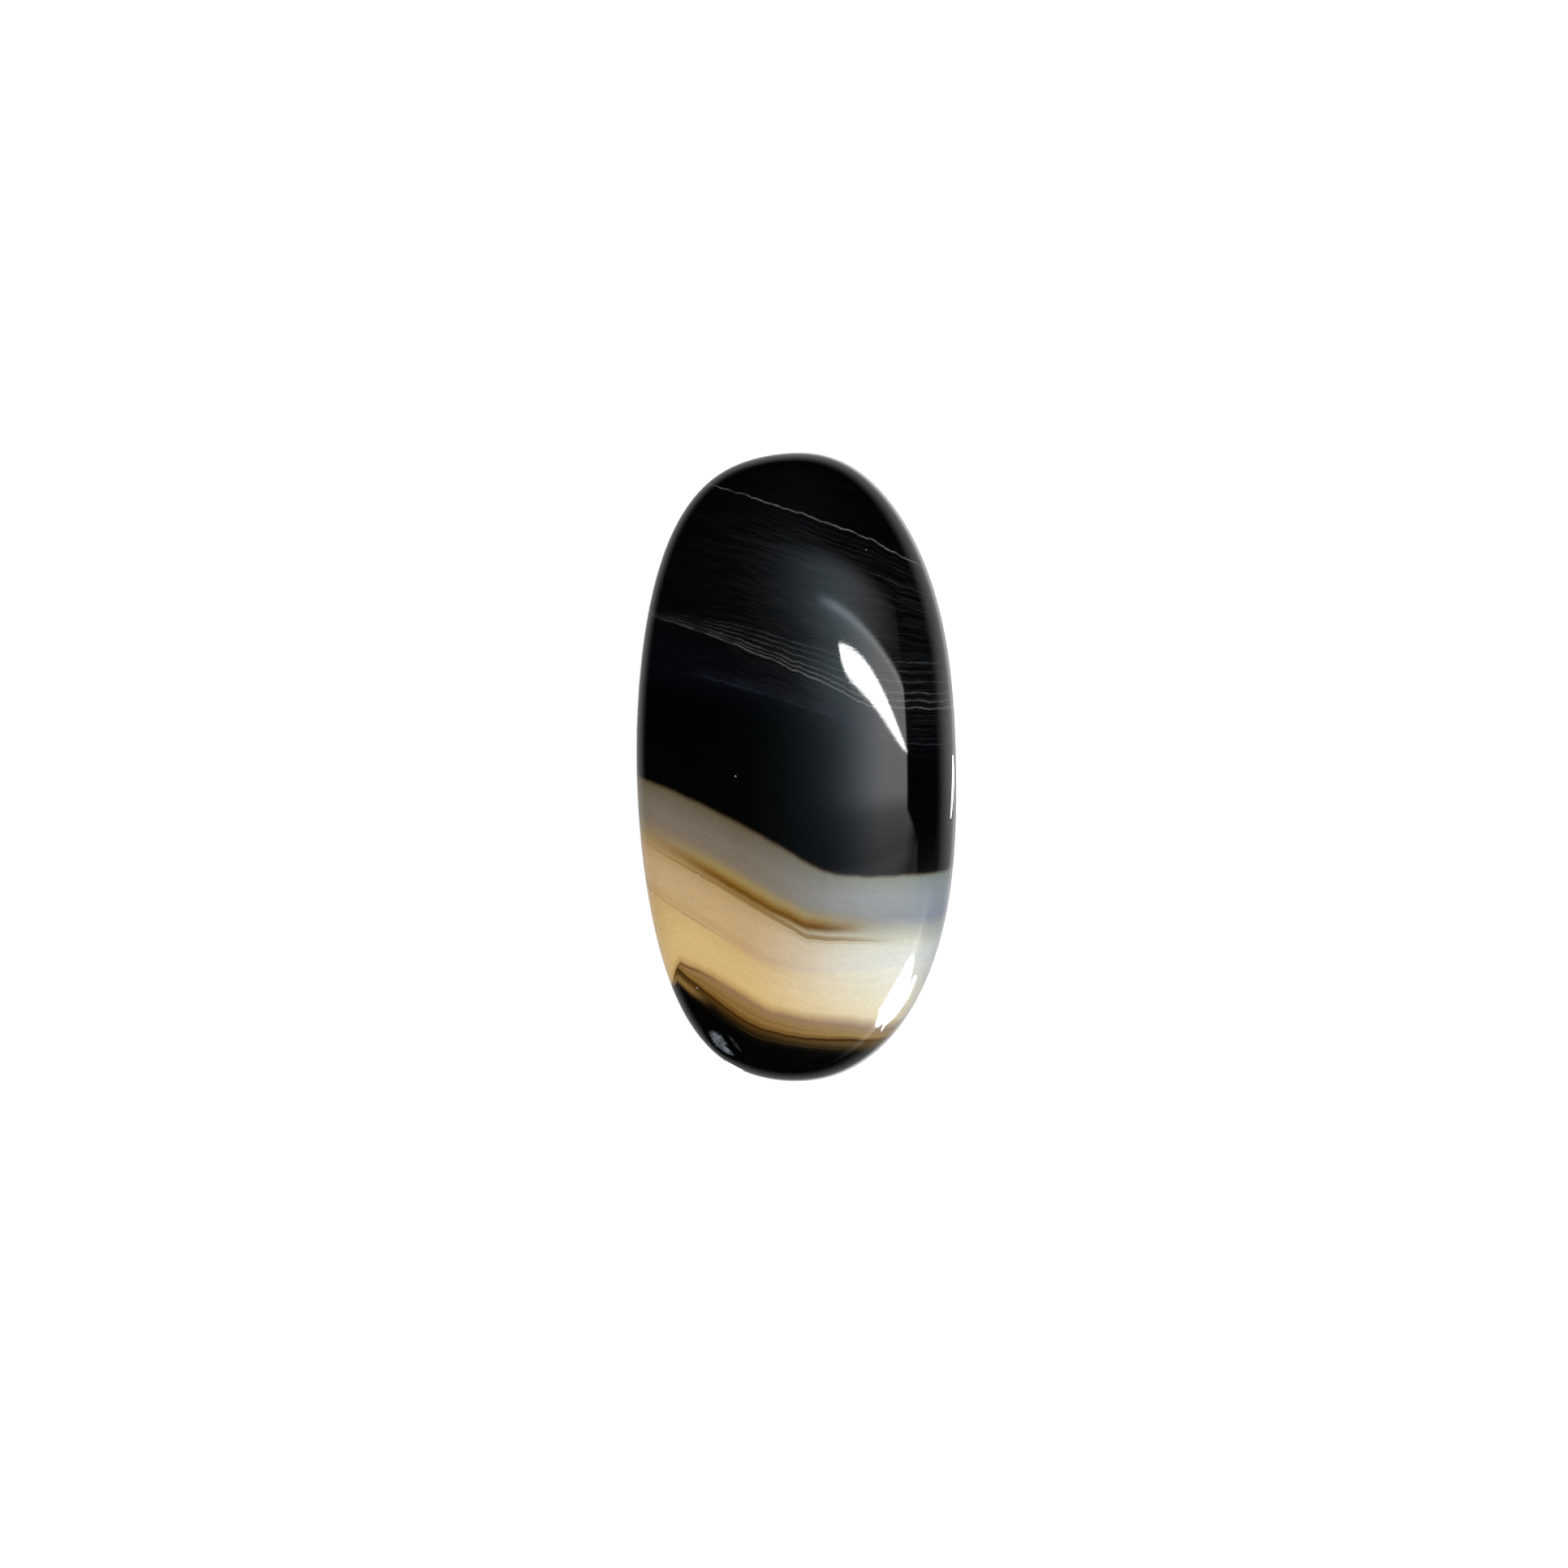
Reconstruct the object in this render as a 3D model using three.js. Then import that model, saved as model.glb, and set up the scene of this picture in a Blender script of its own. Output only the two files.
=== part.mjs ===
// A banded agate, ground and polished as a long oval domed stone with a flat back.
// Millimetres. +Z is up out of the dome, +Y is the long axis, and the flat back lies on z = 0.
import * as THREE from 'three';

// the oval, before its edge is bent by the small waves of hand grinding
const halfLong = 20.46;
const halfWide = 10.39;

// the dome: its crown above the shoulder, and how far the crest lies from the oval's middle
const crown = 2.8;
const crestShift = 1.2;

// the side and the shoulder above it, which turns the dome down into the side
const edgeHeight = 2.2;
const shoulderWidth = 1.4;

// the shoulder is taller on the right, below the crest, than on the left
const shoulderMiddle = 1.0;
const shoulderSwing = 0.22;

// how far the edge leans in towards the crest: hardly at all on the left, more on the right
const leanMiddle = 0.27;
const leanSwing = 0.17;

// the rounded corner between the side and the flat back
const footRadius = 0.4;

// how finely the surface is divided
const stepsAround = 128;
const ringsOnDome = 14;
const ringsOnShoulder = 7;
const ringsOnFoot = 4;

const outlineFit = fitOutline();
const centreHeight = footRadius + edgeHeight + crown;

// How much longer than the plain oval a ray at angle t is. s is 0 at the crest and 1 at the edge,
// so the waves of hand grinding die away towards the middle.
function edgeWave(s, t) {
  return 1
    - 0.011 * s ** 2 * Math.sin(2 * t)
    + 0.007 * s ** 3 * Math.cos(3 * t)
    - 0.026 * s ** 4 * Math.cos(4 * t)
    - 0.0045 * s ** 4 * Math.sin(4 * t)
    + 0.0015 * s ** 6 * Math.sin(6 * t)
    - 0.0036 * s ** 7 * Math.cos(7 * t);
}

// The shift that puts the middle of the outline's box on x = y = 0.
function fitOutline() {
  const box = new THREE.Box2();
  for (let step = 0; step < 1440; step += 1) {
    const t = (step / 1440) * 2 * Math.PI;
    const reach = edgeWave(1, t);
    box.expandByPoint(new THREE.Vector2(
      halfWide * reach * Math.cos(t),
      halfLong * reach * Math.sin(t),
    ));
  }
  return box.getCenter(new THREE.Vector2());
}

// How fast a ring moves away from the edge, at angle t, as s falls from 1: the distance between
// the tangents of two neighbouring rings.
function ringSpacing(t) {
  const area = halfWide * halfLong - 2 * crestShift * halfLong * Math.cos(t);
  return area / Math.hypot(halfLong * Math.cos(t), halfWide * Math.sin(t));
}

// The height of the edge that is gained at share s: the side, then the shoulder, which is a
// superellipse, upright where it leaves the side and level where it meets the dome.
function edgeRise(s, t) {
  const shoulder = shoulderMiddle + shoulderSwing * Math.cos(t);
  const inward = Math.min(((1 - s) * ringSpacing(t)) / shoulderWidth, 1);
  return edgeHeight - shoulder * (1 - Math.sqrt(1 - (1 - inward) ** 3));
}

// A ring of the stone at share s of the way out. inset draws it in from the edge, in millimetres.
function ringPoint(s, t, inset, z) {
  const reach = s * (edgeWave(s, t) - inset / ringSpacing(t));
  return new THREE.Vector3(
    halfWide * reach * Math.cos(t) + crestShift * (1 - s ** 2) - outlineFit.x,
    halfLong * reach * Math.sin(t) - outlineFit.y,
    z,
  );
}

// The lean grows with the edge's height and dies out over the dome.
function topPoint(s, t) {
  const rise = edgeRise(s, t);
  const lean = leanMiddle + leanSwing * Math.cos(t);
  const inset = (lean * rise * s ** 4) / edgeHeight;
  return ringPoint(s, t, inset, footRadius + rise + crown * (1 - s ** 2));
}

function footPoint(turn, t) {
  return ringPoint(1, t, footRadius * (1 - Math.sin(turn)), footRadius * (1 - Math.cos(turn)));
}

// Rings from the flat back up: the rounded foot, the side, the shoulder, then the dome.
function ringList() {
  const rings = [];
  for (let ring = 0; ring <= ringsOnFoot; ring += 1) {
    const turn = (ring / ringsOnFoot) * Math.PI / 2;
    rings.push((t) => footPoint(turn, t));
  }
  for (let ring = 0; ring <= ringsOnShoulder; ring += 1) {
    const share = (ring / ringsOnShoulder) ** 2;
    rings.push((t) => topPoint(1 - share * shoulderWidth / ringSpacing(t), t));
  }
  for (let ring = 1; ring < ringsOnDome; ring += 1) {
    const share = 1 - ring / ringsOnDome;
    rings.push((t) => topPoint(share * (1 - shoulderWidth / ringSpacing(t)), t));
  }
  return rings;
}

function stoneGeometry() {
  const rings = ringList();
  const points = [new THREE.Vector3(0, 0, 0)];
  for (const ring of rings) {
    for (let step = 0; step < stepsAround; step += 1) {
      points.push(ring((step / stepsAround) * 2 * Math.PI));
    }
  }
  points.push(new THREE.Vector3(crestShift - outlineFit.x, -outlineFit.y, centreHeight));

  const index = [];
  const last = points.length - 1;
  const corner = (ring, step) => 1 + ring * stepsAround + (step % stepsAround);
  for (let step = 0; step < stepsAround; step += 1) {
    index.push(0, corner(0, step + 1), corner(0, step));
    for (let ring = 0; ring < rings.length - 1; ring += 1) {
      const a = corner(ring, step);
      const b = corner(ring, step + 1);
      const c = corner(ring + 1, step + 1);
      const d = corner(ring + 1, step);
      index.push(a, b, c, a, c, d);
    }
    index.push(corner(rings.length - 1, step), corner(rings.length - 1, step + 1), last);
  }

  const geometry = new THREE.BufferGeometry().setFromPoints(points);
  geometry.setIndex(index);
  geometry.computeVertexNormals();
  return geometry;
}

const polishedAgate = new THREE.MeshStandardMaterial({
  color: 0x8d7a63,
  roughness: 0.08,
  metalness: 0,
});

const stone = new THREE.Mesh(stoneGeometry(), polishedAgate);
stone.name = 'agate_stone';

const group = new THREE.Group();
group.name = 'agate';
group.add(stone);

export default group;
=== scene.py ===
import math

import bpy
import numpy as np
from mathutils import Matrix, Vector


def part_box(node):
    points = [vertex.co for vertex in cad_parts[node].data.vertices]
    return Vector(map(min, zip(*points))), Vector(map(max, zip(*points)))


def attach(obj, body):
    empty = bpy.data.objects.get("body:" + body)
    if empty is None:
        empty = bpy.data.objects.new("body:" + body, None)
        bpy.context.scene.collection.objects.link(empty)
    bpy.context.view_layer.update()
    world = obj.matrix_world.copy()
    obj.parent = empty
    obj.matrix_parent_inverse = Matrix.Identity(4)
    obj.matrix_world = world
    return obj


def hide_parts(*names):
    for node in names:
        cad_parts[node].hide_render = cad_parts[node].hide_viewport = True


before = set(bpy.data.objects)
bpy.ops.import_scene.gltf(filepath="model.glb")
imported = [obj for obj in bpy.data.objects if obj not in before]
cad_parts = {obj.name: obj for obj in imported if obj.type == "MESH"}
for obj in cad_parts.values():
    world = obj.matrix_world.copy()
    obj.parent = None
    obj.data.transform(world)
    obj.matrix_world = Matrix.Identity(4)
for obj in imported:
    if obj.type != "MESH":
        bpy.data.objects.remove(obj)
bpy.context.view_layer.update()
mm = 0.001


def hexColour(code):
    # sRGB hex to the linear colour that shader sockets want
    parts = [int(code[i:i + 2], 16) / 255 for i in (0, 2, 4)]
    return [p / 12.92 if p <= 0.04045 else ((p + 0.055) / 1.055) ** 2.4 for p in parts] + [1.0]


def addNode(tree, kind, settings=None, links=None):
    # adds one node; a link is a socket, a node (its first output) or a plain value
    node = tree.nodes.new(kind)
    for name, value in (settings or {}).items():
        setattr(node, name, value)
    for name, value in (links or {}).items():
        if isinstance(value, bpy.types.Node):
            value = value.outputs[0]
        if isinstance(value, bpy.types.NodeSocket):
            tree.links.new(value, node.inputs[name])
        else:
            node.inputs[name].default_value = value
    return node


# All in millimetres. The oval is the same ground shape as the frame's solid.
stone = {
    "halfLong": 20.46,
    "halfWide": 10.39,
    "crown": 2.8,              # the dome above its shoulder
    "crestShift": 1.2,         # how far right of the middle the crest lies
    "edgeHeight": 2.2,
    "shoulderWidth": 1.4,
    "shoulderMiddle": 1.0,
    "shoulderSwing": 0.22,     # taller on the right, lower on the left
    "leanMiddle": 0.27,
    "leanSwing": 0.17,
    "footRadius": 0.4,
    "stepsAround": 600,
    "ringsOnFoot": 8,
    "ringsOnShoulder": 34,
    "ringsOnDome": 100,
}

# A shallow pit that the polish ran into but didn't remove, near the lower left edge.
pit = {
    "place": (-4.50, -17.30),
    "turn": -38,               # degrees, of its long axis
    "halfLong": 1.20,
    "halfWide": 0.70,
    "depth": 0.15,
}


# Rough skin left inside the pit, where the wheel never reached, in millimetres and degrees; besides raising
# the roughness, each patch paints a bluish grey into the colour as painted reflection. The last one is only
# its far lip, scuffed thin.
frostAndPaintedReflection = [
    {"place": (-4.92, -17.16), "turn": -52, "half": (0.66, 0.34), "strength": 0.95},
    {"place": (-4.50, -17.74), "turn": -32, "half": (0.62, 0.16), "strength": 1.0},
    {"place": (-3.86, -17.36), "turn": -52, "half": (0.66, 0.10), "strength": 0.16},
]


def edgeWave(s, t):
    # how far hand grinding bent the oval: slow waves that die away towards the crest (s = 0)
    return (1 - 0.011 * s ** 2 * np.sin(2 * t)
            + 0.007 * s ** 3 * np.cos(3 * t)
            - 0.026 * s ** 4 * np.cos(4 * t)
            - 0.0045 * s ** 4 * np.sin(4 * t)
            + 0.0015 * s ** 6 * np.sin(6 * t)
            - 0.0036 * s ** 7 * np.cos(7 * t))


def ringPoint(s, t, inset, z):
    # an oval ring at share s of the way out, drawn in by inset, sliding towards the crest as s falls
    reach = s * (edgeWave(s, t) - inset / ringSpacing(t))
    x = stone["halfWide"] * reach * np.cos(t) + stone["crestShift"] * (1 - s ** 2)
    return np.stack([x, stone["halfLong"] * reach * np.sin(t), z + 0 * x], axis=-1)


def ringSpacing(t):
    # distance between the tangents of two neighbouring rings, at the edge
    a, b = stone["halfWide"], stone["halfLong"]
    return (a * b - 2 * stone["crestShift"] * b * np.cos(t)) / np.hypot(b * np.cos(t), a * np.sin(t))


def topPoint(s, t):
    # a dome that falls with the square of s, then a superellipse shoulder, then a leaning side
    shoulder = stone["shoulderMiddle"] + stone["shoulderSwing"] * np.cos(t)
    inward = np.minimum((1 - s) * ringSpacing(t) / stone["shoulderWidth"], 1)
    rise = stone["edgeHeight"] - shoulder * (1 - np.sqrt(np.maximum(1 - (1 - inward) ** 3, 0)))
    lean = stone["leanMiddle"] + stone["leanSwing"] * np.cos(t)
    inset = lean * rise * s ** 4 / stone["edgeHeight"]
    return ringPoint(s, t, inset, stone["footRadius"] + rise + stone["crown"] * (1 - s ** 2))


def pitDepth(points):
    # an oval bowl with a soft lip: full depth inside, then a flat-topped bell's quick fall
    turn = math.radians(pit["turn"])
    dx, dy = points[..., 0] - pit["place"][0], points[..., 1] - pit["place"][1]
    along = (dx * math.cos(turn) + dy * math.sin(turn)) / pit["halfLong"]
    across = (dy * math.cos(turn) - dx * math.sin(turn)) / pit["halfWide"]
    return pit["depth"] * np.exp(-(along ** 2 + across ** 2) ** 2)


def stoneSurface():
    # grid rows from the flat back up: the foot's quarter round, the shoulder, then the dome
    t = np.linspace(0, 2 * math.pi, stone["stepsAround"], endpoint=False)
    rows = []
    foot = stone["footRadius"]
    for turn in np.linspace(0, math.pi / 2, stone["ringsOnFoot"]):
        rows.append(ringPoint(1.0, t, foot * (1 - math.sin(turn)), foot * (1 - math.cos(turn))))
    shoulderShare = stone["shoulderWidth"] / ringSpacing(t)
    for share in np.linspace(0, 1, stone["ringsOnShoulder"]) ** 2:
        rows.append(topPoint(1 - share * shoulderShare, t))
    for share in np.linspace(1, 0, stone["ringsOnDome"] + 1)[1:-1]:
        rows.append(topPoint(share * (1 - shoulderShare), t))
    crest = topPoint(np.zeros(1), np.zeros(1))
    back = np.array([[stone["crestShift"], 0, 0]])
    points = np.concatenate([back, np.concatenate(rows), crest])
    points[:, 2] -= pitDepth(points) * (points[:, 2] > foot)
    return points, len(rows)


def stoneFaces(ringCount):
    # quads between the rings, and a fan of triangles at each pole
    steps = stone["stepsAround"]
    here = np.arange(steps)
    after = (here + 1) % steps
    low = 1 + np.arange(ringCount - 1)[:, None] * steps
    quads = np.stack([low + here, low + after, low + steps + after, low + steps + here], axis=-1)
    topRing = 1 + (ringCount - 1) * steps
    crest = topRing + steps
    under = np.stack([np.zeros(steps, int), 1 + after, 1 + here], axis=-1)
    over = np.stack([topRing + here, topRing + after, np.full(steps, crest)], axis=-1)
    return quads.reshape(-1, 4).tolist() + under.tolist() + over.tolist()


def makeStone():
    points, ringCount = stoneSurface()
    low, high = [np.array(corner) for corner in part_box("agate_stone")]
    least, most = points.min(axis=0), points.max(axis=0)
    points = low + (points - least) / (most - least) * (high - low)
    mesh = bpy.data.meshes.new("agateStone")
    mesh.from_pydata(points, [], stoneFaces(ringCount))
    mesh.polygons.foreach_set("use_smooth", np.ones(len(mesh.polygons), bool))
    mesh.update()
    piece = bpy.data.objects.new("agateStone", mesh)
    bpy.context.scene.collection.objects.link(piece)
    return piece


# Layers from the top of the stone down. Each starts at its edge, a band that runs level on the
# right and climbs to the left of a fold. level is its height where it is level, slope is how fast it
# climbs, bend is how that climb eases further left, fold is where it folds, round is how round the
# fold is, and fall is how fast it falls to the right. thick is the layer's average thickness. droop
# curls an edge down left of a place, by so much for each square of the distance. Lengths are in
# millimetres. Colours go from this edge (0) to the next (1), on the stone's left and right.
layers = [
    {"name": "blackCap", "edge": None, "thick": 6.0,
     "left": [(0, "020303")],
     "right": [(0, "030303")]},
    {"name": "smokyBlack", "thick": 7.5,
     "edge": {"level": 14.85, "slope": 0.39, "bend": 0.006, "fold": 4.4, "round": 0.15, "fall": 0.56},
     "left": [(0, "020303"), (1, "030404")],
     "right": [(0, "030404"), (1, "030404")]},
    {"name": "threadBands", "thick": 3.0,
     "edge": {"level": 7.5, "slope": 0.36, "bend": 0.01, "fold": 2.9, "round": 0.6, "fall": 0.1},
     "left": [(0, "040505"), (1, "050607")],
     "right": [(0, "050606"), (1, "050606")]},
    {"name": "blueHaze", "thick": 2.7,
     "edge": {"level": 4.55, "slope": 0.53, "bend": 0.01, "fold": 4.5, "round": 0.15, "fall": 0.1},
     "left": [(0, "030405"), (1, "04060a")],
     "right": [(0, "030404"), (1, "040506")]},
    {"name": "blackHeart", "thick": 8.2,
     "edge": {"level": 2.05, "slope": 0.47, "bend": 0.011, "fold": 6.6, "round": 0.45, "fall": 0.08},
     "left": [(0, "04060a"), (0.2, "010303"), (0.978, "020303"), (0.992, "1d140d"), (1, "3a2c1e")],
     "right": [(0, "040506"), (0.2, "010302"), (0.975, "020303"), (0.992, "1a1510"), (1, "4a4538")]},
    {"name": "greyBand", "thick": 3.9,
     "edge": {"level": -6.2, "slope": 0.73, "bend": 0.019, "fold": 1.75, "round": 1.5, "fall": 0},
     "left": [(0, "3a2c1e"), (0.05, "5a5140"), (0.13, "62594a"), (0.35, "6f6558"), (0.60, "74695a"),
              (0.74, "83735a"), (0.86, "8f7a56"), (1, "a3885c")],
     "right": [(0, "4a4538"), (0.05, "858b80"), (0.16, "8b918d"), (0.35, "92979a"), (0.52, "8f9697"),
               (0.64, "8d9395"), (0.74, "9c9f9e"), (0.84, "b0b1a6"), (0.94, "bfc1b2"), (1, "c9cabb")]},
    {"name": "roseTan", "thick": 2.3,
     "edge": {"level": -10, "slope": 0.6, "bend": 0.004, "fold": 0.65, "round": 0.35, "fall": 0.05},
     "left": [(0, "a3885c"), (0.12, "ae9168"), (0.35, "b79a71"), (0.7, "ba9d74"), (0.9, "b4966c"),
              (1, "bd9d6e")],
     "right": [(0, "cbcbb8"), (0.2, "d3d5c8"), (0.6, "d9dbd2"), (1, "dcddd4")]},
    {"name": "honey", "thick": 2.6,
     "edge": {"level": -12.3, "slope": 0.6, "bend": -0.003, "fold": -1.15, "round": 1.2, "fall": -0.03},
     "left": [(0, "bd9d6e"), (0.10, "c5a671"), (0.5, "caac76"), (0.78, "c9aa73"), (0.9, "ba9862"),
              (1, "96764a")],
     "right": [(0, "dedfd3"), (0.5, "e2ddc6"), (0.8, "e0d6b6"), (0.91, "b7a790"), (1, "9f8b7b")]},
    {"name": "mauveBrown", "thick": 1.8,
     "edge": {"level": -14.85, "slope": 0.64, "bend": 0.019, "fold": -1.6, "round": 0.15, "fall": 0.17},
     "droop": (-7.2, 5.0),
     "left": [(0, "8c6c50"), (0.3, "8a6b40"), (0.75, "7f5f30"), (1, "583a14")],
     "right": [(0, "978474"), (0.3, "9a8463"), (0.75, "9b8355"), (1, "6f5832")]},
    {"name": "smokyBrown", "thick": 0.6,
     "edge": {"level": -16.55, "slope": 0.59, "bend": -0.03, "fold": -1.9, "round": 1.8, "fall": 0.04},
     "left": [(0, "583a14"), (0.25, "3a280f"), (0.55, "120d06"), (1, "040302")],
     "right": [(0, "6f5832"), (0.3, "58492c"), (0.65, "211d15"), (1, "090807")]},
    {"name": "blackTip", "thick": 6.0,
     "edge": {"level": -17, "slope": 0.48, "bend": -0.03, "fold": -2.2, "round": 0.35, "fall": 0.13},
     "left": [(0, "040302"), (0.06, "020303")],
     "right": [(0, "090807"), (0.1, "020303")]},
]

bands = {
    "capReach": 6.0,           # millimetres that the first and last layer's colours span
    "dip": 0.15,               # how far a band drops for each millimetre down into the stone
    "thinnest": 0.03,          # millimetres
    "swing": 0.36,             # millimetres, the slow waver of every band
    "swingWaves": (0.55, 0.12, 0.12),   # to a millimetre, across, along and up
    "tremble": 0.16,           # millimetres, the quick waver of the fine lines
    "trembleWaves": (1.5, 0.5, 0.5),
    "turnsPale": (-4.0, 7.0),  # millimetres across the stone, from left colours to right colours
}

# Fine lines between two edges: the layer, how far through it on the left and on the right, half
# width in millimetres, colour, strength, and where across the stone the line begins, is full,
# starts to fade and is gone.
veins = [
    ("smokyBlack", (0.000, 0.000), 0.08, "5e6164", 0.90, (-12.0, 1.0, 20, 30)),
    ("smokyBlack", (0.040, 0.055), 0.05, "1c1e22", 0.70, (-3.0, 2.0, 20, 30)),
    ("smokyBlack", (0.080, 0.100), 0.06, "191b1f", 0.70, (-4.0, 1.0, 20, 30)),
    ("smokyBlack", (0.120, 0.140), 0.06, "1b1d21", 0.70, (-5.0, 1.0, 20, 30)),
    ("smokyBlack", (0.165, 0.185), 0.06, "17191d", 0.60, (-3.0, 1.0, 20, 30)),
    ("smokyBlack", (0.280, 0.280), 0.06, "35373a", 0.60, (3.0, 5.5, 20, 30)),
    ("threadBands", (-0.12, -0.10), 0.06, "17191b", 0.60, (-3.0, 1.0, 6, 9)),
    ("threadBands", (0.00, 0.00), 0.09, "2c3031", 0.90, (-8.0, 0.0, 20, 30)),
    ("threadBands", (0.22, 0.20), 0.10, "2e3231", 0.80, (-10.0, -1.0, 20, 30)),
    ("threadBands", (0.44, 0.42), 0.08, "3a3e3d", 0.80, (-10.0, 0.0, 20, 30)),
    ("threadBands", (0.68, 0.66), 0.10, "484b49", 0.75, (-14.0, 2.0, 20, 30)),
    ("threadBands", (0.84, 0.84), 0.09, "4e514f", 0.80, (-10.0, 3.0, 20, 30)),
    ("blueHaze", (0.00, 0.00), 0.10, "5a5d5a", 0.85, (-16.0, 4.0, 20, 30)),
    ("blueHaze", (0.30, 0.30), 0.25, "0c1014", 0.60, (-3.0, 1.0, 4, 7)),
    ("blackHeart", (-0.03, -0.03), 0.60, "101319", 0.70, (-7.5, -4.0, 2, 7)),
    ("blackHeart", (0.00, 0.00), 0.18, "181c26", 0.80, (-7.5, -4.0, 2, 7)),
    ("blackHeart", (0.00, 0.00), 0.07, "30373a", 0.70, (4.0, 6.0, 20, 30)),
    ("greyBand", (0.80, 0.74), 1.00, "95803f", 0.65, (-9.0, -4.0, 0.5, 7.0)),
    ("greyBand", (0.87, 0.81), 0.62, "765018", 0.90, (-10.0, -4.5, 0.6, 5.5)),
    ("greyBand", (0.90, 0.83), 0.30, "573808", 0.70, (-7.5, -4.0, 0.8, 4.5)),
    ("greyBand", (0.97, 0.97), 0.20, "75531f", 0.70, (-8.0, -3.0, 1.5, 6.5)),
    ("greyBand", (0.58, 0.60), 0.55, "8d90a0", 0.40, (3.0, 7.0, 20, 30)),
    ("roseTan", (0.00, 0.00), 0.13, "7d6230", 0.75, (-11.0, -6.0, 2.5, 7.0)),
    ("roseTan", (0.09, 0.09), 0.08, "96804e", 0.45, (-3.0, 0.0, 2.5, 6.0)),
    ("honey", (0.00, 0.00), 0.07, "8a6c46", 0.60, (-30, -20, -6.5, -3.0)),
    ("smokyBrown", (0.42, 0.42), 0.45, "8a6c3c", 0.85, (-30, -20, -7.2, -5.2)),
    ("smokyBrown", (0.00, 0.00), 0.17, "35200a", 0.95, (-30, -20, 3.5, 6.0)),
    ("mauveBrown", (0.50, 0.56), 0.09, "6b4a1e", 0.50, (-8.0, -6.5, -1.0, 3.0)),
    ("mauveBrown", (0.78, 0.82), 0.10, "5f4018", 0.55, (-6.5, -4.5, 3.0, 6.0)),
    ("smokyBrown", (0.60, 0.60), 0.08, "4a361a", 0.50, (-5.0, -3.0, 2.0, 5.0)),
    ("mauveBrown", (0.02, 0.02), 0.16, "5d3d12", 0.80, (-30, -20, -6.8, -4.5)),
]


def bandHeight(tree, across, edge):
    # level height + slope * d - bend * d * d - fall * e, where d and e are the distances left and
    # right of the fold with the corner between them rounded by a hyperbola
    left = addNode(tree, "ShaderNodeMath", {"operation": "SUBTRACT"}, {0: edge["fold"], 1: across})
    square = addNode(tree, "ShaderNodeMath", {"operation": "MULTIPLY_ADD"},
                     {0: left, 1: left, 2: edge["round"] ** 2})
    root = addNode(tree, "ShaderNodeMath", {"operation": "SQRT"}, {0: square})
    both = addNode(tree, "ShaderNodeMath", {"operation": "ADD"}, {0: root, 1: left})
    d = addNode(tree, "ShaderNodeMath", {"operation": "MULTIPLY"}, {0: both, 1: 0.5})
    e = addNode(tree, "ShaderNodeMath", {"operation": "SUBTRACT"}, {0: d, 1: left})
    climb = addNode(tree, "ShaderNodeMath", {"operation": "MULTIPLY_ADD"},
                    {0: d, 1: edge["slope"], 2: edge["level"]})
    dSquare = addNode(tree, "ShaderNodeMath", {"operation": "MULTIPLY"}, {0: d, 1: d})
    eased = addNode(tree, "ShaderNodeMath", {"operation": "MULTIPLY_ADD"},
                    {0: dSquare, 1: -edge["bend"], 2: climb})
    return addNode(tree, "ShaderNodeMath", {"operation": "MULTIPLY_ADD"}, {0: e, 1: -edge["fall"], 2: eased})


def colourRamp(tree, share, stops):
    ramp = addNode(tree, "ShaderNodeValToRGB", links={"Fac": share})
    elements = ramp.color_ramp.elements
    while len(elements) > 1:
        elements.remove(elements[-1])
    elements[0].position = stops[0][0]
    elements[0].color = hexColour(stops[0][1])
    for position, code in stops[1:]:
        elements.new(position).color = hexColour(code)
    return ramp


# Quartz fibre and how it shows. Waves are to a millimetre: real fibre is much finer than any of
# these, so it is drawn about a tenth of a millimetre wide.
fibre = {
    "sheetWaves": (0.5, 4.5, 0.2),   # across, through the layers, and up
    "streakGain": 0.22,
    "grainWaves": 8.0,
    "grainGain": 0.36,
    "leastGain": 0.71,
    "weaveWaves": (0.9, 2.2, 1.0),   # to one wave of the sheets
    "weaveBegins": (6.0, 8.5),       # millimetres down through the layers
    "weaveEnds": (17.5, 20.5),
    "weaveAcross": (-7.0, 2.0),      # millimetres across the stone
    "weaveLeast": 0.15,
    "weaveBright": 0.011,
}

edgeCool = {"from": 6.6, "to": 9.0, "tint": (0.90, 0.96, 1.06, 1.0)}   # millimetres across

dust = {"cells": 0.5, "radius": 0.056, "strength": 0.6, "colour": "a9adac"}   # millimetres

skin = {
    "gloss": (0.02, 0.05),     # roughness of the polish
    "satin": 0.38,             # what the ground back adds
    "rasp": 0.4,               # what the pit's rough skin adds
    "relief": 0.0005,          # millimetres between hard and soft sheets
    "ior": 1.54,               # chalcedony
}


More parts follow.
